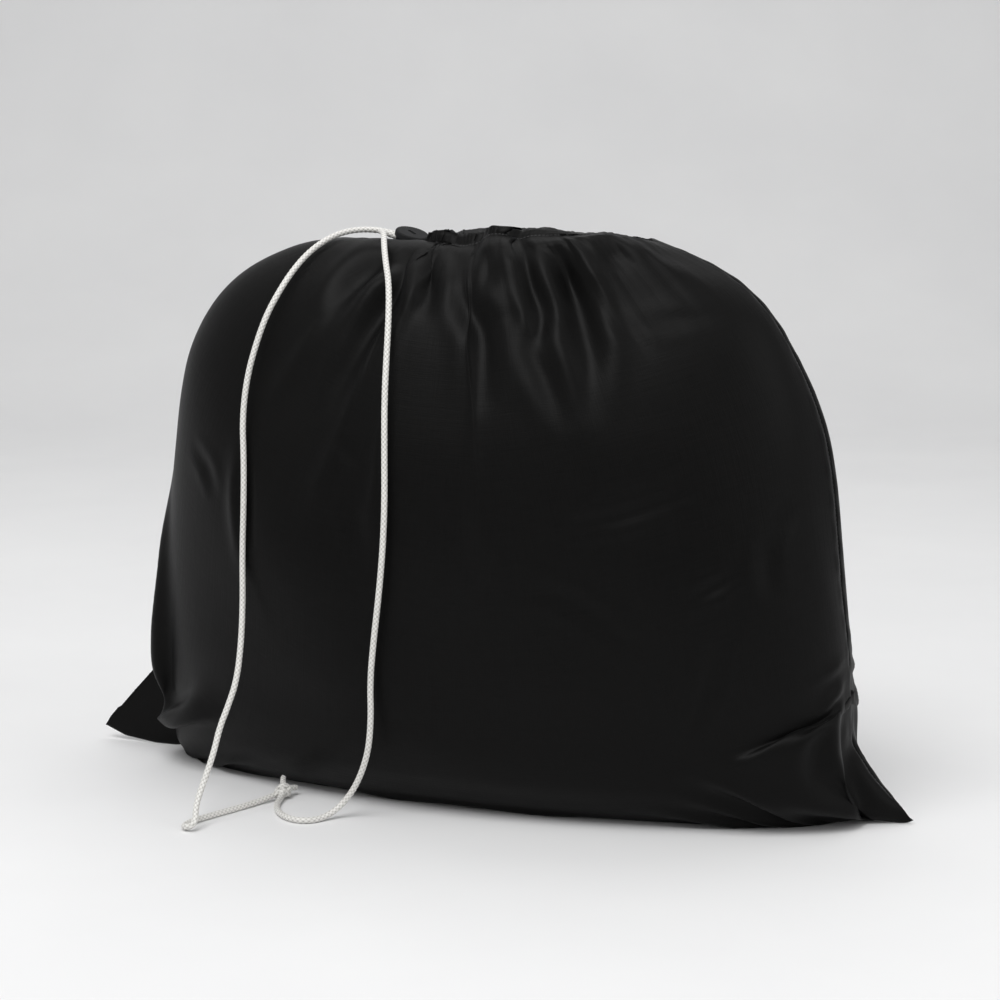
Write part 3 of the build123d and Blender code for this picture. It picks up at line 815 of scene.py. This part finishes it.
# the left corner lies out flat on the floor, its two layers together
line = np.array([(-294.5, 10), (-290, 17), (-262, 49), (-243, 70), (-235, 92), (-232, 130)], float)
run = np.r_[0, np.cumsum(np.hypot(*np.diff(line, axis=0).T))]
away = tcol[None, :] * PANEL_W
flap = np.empty_like(cloth)
flap[..., 0] = away + np.interp(vrow, run, line[:, 0])[:, None]
flap[..., 1] = np.where(par <= 1, -0.5, 0.5)[None, :] - np.sign(1 - par)[None, :] * np.clip(away * 0.04, 0, 3) * np.clip(vrow[:, None] / 10, 0, 1)
flap[..., 2] = np.interp(away, [0, 16, 40], [10, 3.5, 0.5]) + np.interp(vrow, run, line[:, 1])[:, None] - 10
w = np.clip((150 - away - vrow[:, None]) / 95, 0, 1)
w = (w * w * (3 - 2 * w))[..., None]
cloth += w * (flap - cloth)
soft = np.exp(-((away + vrow[:, None] - 100) / 48) ** 2) * hold
for _ in range(4):
    smooth(cloth, 12, 0.5, soft[..., None])
    for _ in range(3):
        low = cloth[:80].copy()
        out_of_load(low, 0.6)
        low[:, 1:HALF, 1] = np.minimum(low[:, 1:HALF, 1], -0.35)
        low[:, HALF + 1:, 1] = np.maximum(low[:, HALF + 1:, 1], 0.35)
        low[..., 2] = np.maximum(low[..., 2], 0.3)
        cloth[:80] = low


def unfold(P, v0, v1):
    # no cloth doubled back behind itself across the front
    r = slice(int(v0 / STEP), int(v1 / STEP))
    x = P[r, 1:HALF, 0]
    P[r, 1:HALF, 0] = 0.5 * (np.maximum.accumulate(x, axis=1) + np.minimum.accumulate(x[:, ::-1], axis=1)[:, ::-1])


unfold(cloth, 230, 472)
upper = np.clip((vrow - 120) / 100, 0, 1)[:, None, None] * np.clip((488 - vrow) / 12, 0, 1)[:, None, None]
smooth(cloth, 20, 0.5, upper)
N = outward(cloth)
for line, depth, width, ridge in folds:
    fold(cloth, N, line, depth, width, -1.0, ridge)
# tight slits between the folds open up
opened = np.clip((vrow - 300) / 60, 0, 1)[:, None, None] * np.clip((480 - vrow) / 12, 0, 1)[:, None, None]
unfold(cloth, 230, 472)
smooth(cloth, 12, 0.5, opened)

# fine gathers run down from the hem, and die out
rng = np.random.default_rng(5)
N = normals(cloth)
ucol = np.arange(NU) * STEP
sig = np.where(par <= 1, np.interp(par, bunch_t, bunch_s), 2 - np.interp(2 - par, bunch_t, bunch_s)) / 2
fine = np.zeros(NU)
for lam, am in ((5.3, 0.45), (8.3, 0.75), (13.7, 0.95)):
    n = int(round(ring_d[-1] / lam))
    fine += am * np.sin(2 * pi * (sig * n + 0.45 * np.sin(2 * pi * sig * 11 + lam)))
fade = np.interp(vrow, [0, 380, 425, 460, 485, 500], [0, 0, .3, .85, 1.15, 1.0])
xr, yr_ = mouth(par)
calm = np.where(yr_ <= 0, np.interp(xr, [-31, -20, 40, 60, 104], [0.5, 0.22, 0.22, 0.5, 0.6]), 0.85)
cloth += (fade[:, None] * (fine * calm)[None])[..., None] * N * np.array((1, 1, 0.3))
# the broad gathers of the hem's front: how far each stands out
broad_x = [-31, -27, -20, -12, -8.5, -4, 3, 9, 11.5, 14, 20, 28, 34, 38, 43, 55, 75, 104]
broad_y = [2.0, 5.5, 6.0, 3.5, 0.3, 2.5, 4.0, 2.2, 0.0, 3.5, 7.5, 8.0, 4.5, 0.2, 3.0, 4.0, 3.0, 1.0]
xs = np.linspace(-31, 104, 271)
bulge = np.interp(xs, broad_x, broad_y)
for _ in range(6):
    bulge[1:-1] = 0.25 * bulge[:-2] + 0.5 * bulge[1:-1] + 0.25 * bulge[2:]
out_by = np.where(yr_ <= 0, np.interp(xr, xs, bulge), 0)
reach_v = np.interp(vrow, [0, 430, 462, 482, 500], [0, 0, 0.8, 1.0, 0.85])
flatN = N * np.array((1, 1, 0.0))
cloth += (reach_v[:, None] * out_by[None])[..., None] * flatN

# the front's gathers stand up beside the mouth, drawn straight from the hem's edge over the load's crown
inside = cloth[NV - 8:].copy()
rise_x = [7, 11, 14, 19, 27, 34, 37, 40, 47, 62, 80, 94, 104]
rise_z = [0.0, 1.5, 6.5, 9.0, 8.5, 6.0, 4.0, 6.5, 7.5, 7.0, 6.0, 3.0, 0.0]
rise = np.where((par > 0) & (par < 1), np.interp(xr, rise_x, rise_z), 0)
for _ in range(3):
    rise = 0.25 * np.roll(rise, 1) + 0.5 * rise + 0.25 * np.roll(rise, -1)
cloth[..., 2] += np.interp(vrow, [425, 452, 466, 478, 488, 500], [0, 0.45, 1.0, 1.0, 0.45, 0.3])[:, None] * rise[None]
first = int(round(425 / STEP))
D = np.zeros((NV - first, NU))
for c in range(1, HALF):
    col = cloth[first:, c]
    top = int(np.argmax(col[:int((482 - 425) / STEP), 2]))
    s = np.clip((np.arange(len(col)) - top) / (len(col) - 1.0 - top), 0, 1)
    chord = col[top, 2] + (col[-1, 2] - col[top, 2]) * s
    D[:, c] = np.where(s > 0, np.maximum(0, chord - col[:, 2]), 0)
for _ in range(4):
    D = 0.25 * np.roll(D, 1, 1) + 0.5 * D + 0.25 * np.roll(D, -1, 1)
cloth[first:, :, 2] += D * np.where((par > 0) & (par < 1), np.interp(xr, [0, 10, 96, 104], [0.0, 1.0, 1.0, 0.0]), 0)[None]

# the cloth keeps out of the cords' and the lock's way
cord_pts = np.concatenate([line_r[5::3], line_l[5::3], line_h[::2]]) / MM
tree = kdtree.KDTree(len(cord_pts))
for i, c in enumerate(cord_pts):
    tree.insert(c, i)
tree.balance()


def clear_of(P, N, reach=6.0, gap=2.8):
    # how far each point has to go in to leave the cord room, spread smoothly over its neighbours
    need = np.zeros(P.shape[:2])
    lo, hi = cord_pts.min(0) - 10, cord_pts.max(0) + 10
    for r, c in zip(*np.nonzero(((P > lo) & (P < hi)).all(2))):
        p, k, d = tree.find(Vector(P[r, c]))
        if d > 18:
            continue
        q = np.array(p) - P[r, c]
        out = q @ N[r, c]
        lat = sqrt(max(0.0, d * d - out * out))
        if lat < reach and out > -12 and (P[r, c, 2] > 340 or P[r, c, 2] < 30):
            need[r, c] = max(0.0, gap * (1 - 0.5 * (lat / reach) ** 2) - out)
    D = need.copy()
    for _ in range(14):
        A = (np.roll(D, 1, 1) + np.roll(D, -1, 1)) * 0.25
        A[1:-1] += (D[:-2] + D[2:]) * 0.25
        D = np.maximum(need, A * 0.985)
    P -= D[..., None] * N


body_rows = NV - 6
behind_tails(cloth)
for _ in range(2):
    part = cloth[:body_rows].copy()
    up = np.array((0.0, 0.0, 1.0))
    N = outward(part)
    N = N * (part[..., 2:] < 352) + up * (part[..., 2:] >= 352)
    clear_of(part, N)
    cloth[:body_rows] = part


def clear_lock(P):
    q = P - LO
    u, v, w = q @ LX, q @ LY, q @ LZ
    uc = np.clip(u, -LOCK_TRAVEL, 0)
    r = np.hypot(u - uc, v)
    need = np.interp(r, [12.4, 15.5, 18.0], [-7.6, -2.0, 6.0])
    m = (r < 18.0) & (w > need) & (w < 12)
    P += np.where(m, need - w, 0)[..., None] * LZ


clear_lock(cloth)

# seams: a narrow groove, slightly puckered
N = normals(cloth)
for col in (0, HALF):
    for dc, am in ((0, -1.0), (1, -0.35), (-1, -0.35), (2, 0.25), (-2, 0.25)):
        pucker = 0.22 * np.sin(vrow / 3.3 + dc) * (abs(dc) > 0)
        cloth[8:NV - 5, (col + dc) % NU] += ((am + pucker)[8:NV - 5, None] if np.ndim(am + pucker) else am) * N[8:NV - 5, (col + dc) % NU]

# the hem's open ends beside the lock, and the inner layer of its channel
rx, ry = mouth(par)
tx, ty = np.roll(rx, -1) - np.roll(rx, 1), np.roll(ry, -1) - np.roll(ry, 1)
ln = np.hypot(tx, ty) + 1e-9
nx, ny = ty / ln, -tx / ln
sg = np.sign((rx - 36) * nx + ry * ny)
nx, ny = nx * sg, ny * sg
nrm2 = np.stack([nx, ny, 0 * nx], 1)


def panel(name, cols, side, node):
    P = cloth[:, cols].copy()
    n2, x0, y0 = nrm2[cols], rx[cols], ry[cols]
    # open end of the channel at the lock
    for d, k in ((0, 1.0), (1, 1.0), (2, 1.0), (3, 0.7)):
        r = P[NV - 1 - d]
        near = r[:, 0] < -22
        y_min = 5.6 * k
        r[:, 1] = np.where(near & (side * r[:, 1] < y_min), side * y_min, r[:, 1])
    inner = []
    pr = (P[..., 0] - x0) * n2[:, 0] + (P[..., 1] - y0) * n2[:, 1]
    lining = (6.8 + 0.7 * fine[cols] + 0.5 * np.sin(x0 / 4.1 + side)) * np.interp(x0, [-31, -10], [0.62, 1.0])
    for d, k, drop in ((1, 0.72, 0), (2, 1.0, 0), (3, 1.0, 0.8), (4, 1.0, 1.5), (5, 0.6, 1.5), (6, 0.0, 0)):
        wide = k * (np.clip(pr[NV - 1 - d], 0, 14) + lining)
        r = P[NV - 1 - d] - n2 * (wide + (1.1 if d == 6 else 0.0))[:, None]
        if d > 2:
            r[:, 2] = np.minimum(r[:, 2], inside[7 - d][cols][:, 2] + 1.0) - drop
        inner.append(r)
    rows = np.concatenate([P, np.array(inner)])
    nr, nc = rows.shape[:2]
    vv = np.r_[vrow, PANEL_H + STEP * np.arange(1, 7)]
    uu = tcol[cols] * PANEL_W
    idx = np.arange(nr * nc).reshape(nr, nc)
    q = np.stack([idx[:-1, :-1], idx[:-1, 1:], idx[1:, 1:], idx[1:, :-1]], -1).reshape(-1, 4)
    me = bpy.data.meshes.new(name)
    me.from_pydata((rows.reshape(-1, 3) * MM).tolist(), [], q.tolist())
    me.polygons.foreach_set("use_smooth", [True] * len(q))
    uv = me.uv_layers.new(name="cloth")
    U = np.broadcast_to(uu[None, :], (nr, nc)).reshape(-1) * MM + (0.7 if side > 0 else 0.0)
    Vc = np.broadcast_to(vv[:, None], (nr, nc)).reshape(-1) * MM
    lv = np.array([l.vertex_index for l in me.loops])
    uv.data.foreach_set("uv", np.stack([U[lv], Vc[lv]], 1).ravel())
    me.materials.append(black_cotton)
    ob = link(bpy.data.objects.new(name, me))
    m = ob.modifiers.new("cloth thickness", "SOLIDIFY")
    m.thickness = 0.00045
    m.offset = -1
    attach(ob, "bag")
    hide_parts(node)
    return ob, rows


front_ob, front_rows = panel("front_cloth", np.arange(0, HALF + 1), -1, "front_panel")
back_ob, back_rows = panel("back_cloth", np.r_[np.arange(HALF, NU), 0], 1, "back_panel")


# ------------------------------------------------------------------ sewing threads
def bead_mesh(name, segs, r, sides=6):
    # short stitches, each a small rounded run of thread from a to b
    V, F = [], []
    for a, b, n in segs:
        a, b, n = Vector(a), Vector(b), Vector(n)
        t = (b - a)
        L = t.length
        if L < 1e-6:
            continue
        t.normalize()
        s = t.cross(n)
        if s.length < 1e-6:
            continue
        s.normalize()
        n = s.cross(t)
        base = len(V)
        for f, k, lift in ((0.0, 0.35, -0.9), (0.12, 0.85, -0.2), (0.5, 1.0, 0.15), (0.88, 0.85, -0.2), (1.0, 0.35, -0.9)):
            c = a + t * L * f + n * r * lift
            for i in range(sides):
                an = 2 * pi * i / sides
                V.append(c + s * (r * k * cos(an)) + n * (r * k * sin(an)))
        for j in range(4):
            for i in range(sides):
                F.append([base + j * sides + i, base + j * sides + (i + 1) % sides,
                          base + (j + 1) * sides + (i + 1) % sides, base + (j + 1) * sides + i])
        F.append([base + i for i in range(sides)][::-1])
        F.append([base + 4 * sides + i for i in range(sides)])
    me = bpy.data.meshes.new(name)
    me.from_pydata([tuple(v * MM) for v in V], [], F)
    me.polygons.foreach_set("use_smooth", [True] * len(me.polygons))
    me.materials.append(black_thread)
    ob = link(bpy.data.objects.new(name, me))
    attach(ob, "bag")
    return ob


def along(line, norm, s0, s1, pitch, run):
    d = np.r_[0, np.cumsum(np.linalg.norm(np.diff(line, axis=0), axis=1))]
    out = []
    s = s0
    while s + run < d[-1] - s1:
        p = [np.array([np.interp(x, d, line[:, k]) for k in range(3)]) for x in (s, s + run)]
        n = np.array([np.interp(s + run / 2, d, norm[:, k]) for k in range(3)])
        out.append((p[0], p[1], n))
        s += pitch
    return out


def row_normals(rows):
    du = np.gradient(rows, axis=1)
    dv = np.gradient(rows, axis=0)
    n = np.cross(du, dv)
    return n / (np.linalg.norm(n, axis=2, keepdims=True) + 1e-9)


for rows, node, nm in ((front_rows, "front_hem_stitching", "front_hem_stitches"), (back_rows, "back_hem_stitching", "back_hem_stitches")):
    n = row_normals(rows)
    k = NV - 5
    ob = bead_mesh(nm, along(rows[k] + 0.12 * n[k], n[k], 2, 2, 2.6, 2.0), 0.22)
    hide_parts(node)
nf = row_normals(front_rows)
nb = row_normals(back_rows)
for col, node, nm in ((0, "left_side_seam", "left_seam_stitches"), (-1, "right_side_seam", "right_seam_stitches")):
    bcol = -1 if col == 0 else 0
    line = front_rows[2:NV - 5, col]
    n = nf[2:NV - 5, col] + nb[2:NV - 5, bcol]
    n /= np.linalg.norm(n, axis=1, keepdims=True) + 1e-9
    ob = bead_mesh(nm, along(line - 0.1 * n, n, 2, 2, 3.0, 1.6), 0.20)
    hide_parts(node)
line = front_rows[0]
n = np.tile(np.array((0, 0, -1.0)), (len(line), 1)) * 0 + np.array((0, -0.5, 0.85))
ob = bead_mesh("bottom_seam_stitches", along(line + np.array((0, 0, 0.15)), n, 6, 6, 3.0, 1.6), 0.20)
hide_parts("bottom_seam")

# ------------------------------------------------------------------ what fills it: folded laundry, seen only down the mouth
th = np.linspace(0, 2 * pi, 144, endpoint=False)
zz = np.r_[np.linspace(4, 330, 50), np.linspace(333, 348, 8)]
L = []
for z in zz:
    a, b, c = float(look(np.array(z), TA)), float(look(np.array(z), TB)), float(look(np.array(z), TC))
    k = max(0.0, (z - 250) / 98)
    a, b = a * (1 - 0.06 - 0.18 * k * k), b * (1 - 0.10 - 0.22 * k * k)
    ripple = 2.5 * np.sin(5 * th + z / 19) + 2.0 * np.sin(9 * th - z / 11 + 1) + 1.5 * np.sin(z / 6.5 + 3 * np.sin(2 * th))
    L.append(np.stack([c + (a + ripple) * np.cos(th), (b + ripple * 0.8) * np.sin(th), np.full_like(th, z)], 1))
for k in (0.8, 0.6, 0.4, 0.2):
    r = L[57].copy()
    r[:, :2] = r[:, :2] * k + np.array((c, 0)) * (1 - k)
    r[:, 2] = 348 + 2.5 * np.sin(th * 2 + 9 * k) + 2.0 * np.sin(r[:, 0] / 9 + r[:, 1] / 13) - 2
    L.append(r)
bottom = L[0].copy()
bottom[:, :2] = bottom[:, :2] * 0.9
bottom[:, 2] = 1.6
L = np.array([bottom] + L)
nl, nt = L.shape[:2]
V = L.reshape(-1, 3).tolist() + [[c, 0, 349.0], [5.0, 0, 1.6]]
idx = np.arange(nl * nt).reshape(nl, nt)
F = np.stack([idx[:-1], np.roll(idx, -1, 1)[:-1], np.roll(idx, -1, 1)[1:], idx[1:]], -1).reshape(-1, 4).tolist()
F += [[int(idx[-1, i]), int(idx[-1, (i + 1) % nt]), len(V) - 2] for i in range(nt)]
F += [[int(idx[0, (i + 1) % nt]), int(idx[0, i]), len(V) - 1] for i in range(nt)]
me = bpy.data.meshes.new("laundry")
me.from_pydata((np.array(V) * MM).tolist(), [], F)
me.polygons.foreach_set("use_smooth", [True] * len(me.polygons))
uv = me.uv_layers.new(name="cloth")
lv = np.array([l.vertex_index for l in me.loops])
W3 = np.array(V) * MM
uv.data.foreach_set("uv", np.stack([W3[lv, 0] + W3[lv, 1] * 0.6, W3[lv, 2] + W3[lv, 1] * 0.3], 1).ravel())
me.materials.append(load_cloth)
load = link(bpy.data.objects.new("laundry", me))
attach(load, "bag")
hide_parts("laundry_load")

# ------------------------------------------------------------------ the lock keeps its CAD shape
for node, mat in (("lock_body", grey_plastic), ("lock_button", grey_plastic), ("lock_spring", spring_steel)):
    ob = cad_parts[node]
    ob.data.materials.clear()
    ob.data.materials.append(mat)
    ob.data.polygons.foreach_set("use_smooth", [True] * len(ob.data.polygons))
    ob.data.set_sharp_from_angle(angle=radians(32))

# ------------------------------------------------------------------ stage and light
def paper(name):
    m = Mat(name)
    obj = m.node("ShaderNodeTexCoord").outputs["Object"]
    n = m.noise(obj, 3.0, 4.0)
    m.link(m.ramp(n, [(0.3, (0.78, 0.78, 0.785)), (0.7, (0.82, 0.82, 0.822))]), m.bsdf.inputs["Base Color"])
    m.link(m.bump(m.noise(obj, 900.0, 2.0), 0.05, 0.0003), m.bsdf.inputs["Normal"])
    m.val("Roughness", 0.6)
    m.val("Specular IOR Level", 0.25)
    return m.m


prof = [(-4.0, 0.0), (1.6, 0.0)]
for k in range(1, 13):
    a = pi / 2 * k / 12
    prof.append((1.6 + 1.2 * sin(a), 1.2 - 1.2 * cos(a)))
prof.append((2.8, 5.0))
V, F = [], []
for d, z in prof:
    for s in (-6, 6):
        p = Vector((-back.x, -back.y, 0)).normalized() * d + Vector((cos(YAW), sin(YAW), 0)) * s
        V.append((p.x, p.y, z - 0.0))
for k in range(len(prof) - 1):
    F.append([2 * k, 2 * k + 1, 2 * k + 3, 2 * k + 2])
me = bpy.data.meshes.new("floor")
me.from_pydata(V, [], F)
me.polygons.foreach_set("use_smooth", [True] * len(F))
me.materials.append(paper("floor_paper"))
floor = link(bpy.data.objects.new("floor", me))

world = bpy.data.worlds.new("studio")
scene.world = world
world.use_nodes = True
world.node_tree.nodes["Background"].inputs[0].default_value = (1, 1, 1, 1)
world.node_tree.nodes["Background"].inputs[1].default_value = 0.50


def softbox(name, az, el, dist, size, watts, colour=(1, 1, 1)):
    # az is measured from the camera's side, to its right
    a = YAW + radians(az)
    d = Vector((sin(a) * cos(radians(el)), -cos(a) * cos(radians(el)), sin(radians(el))))
    l = bpy.data.lights.new(name, "AREA")
    l.shape = "RECTANGLE"
    l.size, l.size_y = size
    l.energy = watts
    l.color = colour
    o = link(bpy.data.objects.new(name, l))
    t = Vector((0, 0, 0.2))
    o.location = t + d * dist
    o.rotation_euler = (-d).to_track_quat("-Z", "Y").to_euler()
    return o


softbox("key", -28, 58, 2.2, (1.6, 1.2), 32)
softbox("fill", 62, 28, 2.6, (1.2, 1.6), 11)
softbox("top", 170, 66, 2.4, (2.2, 1.2), 13)
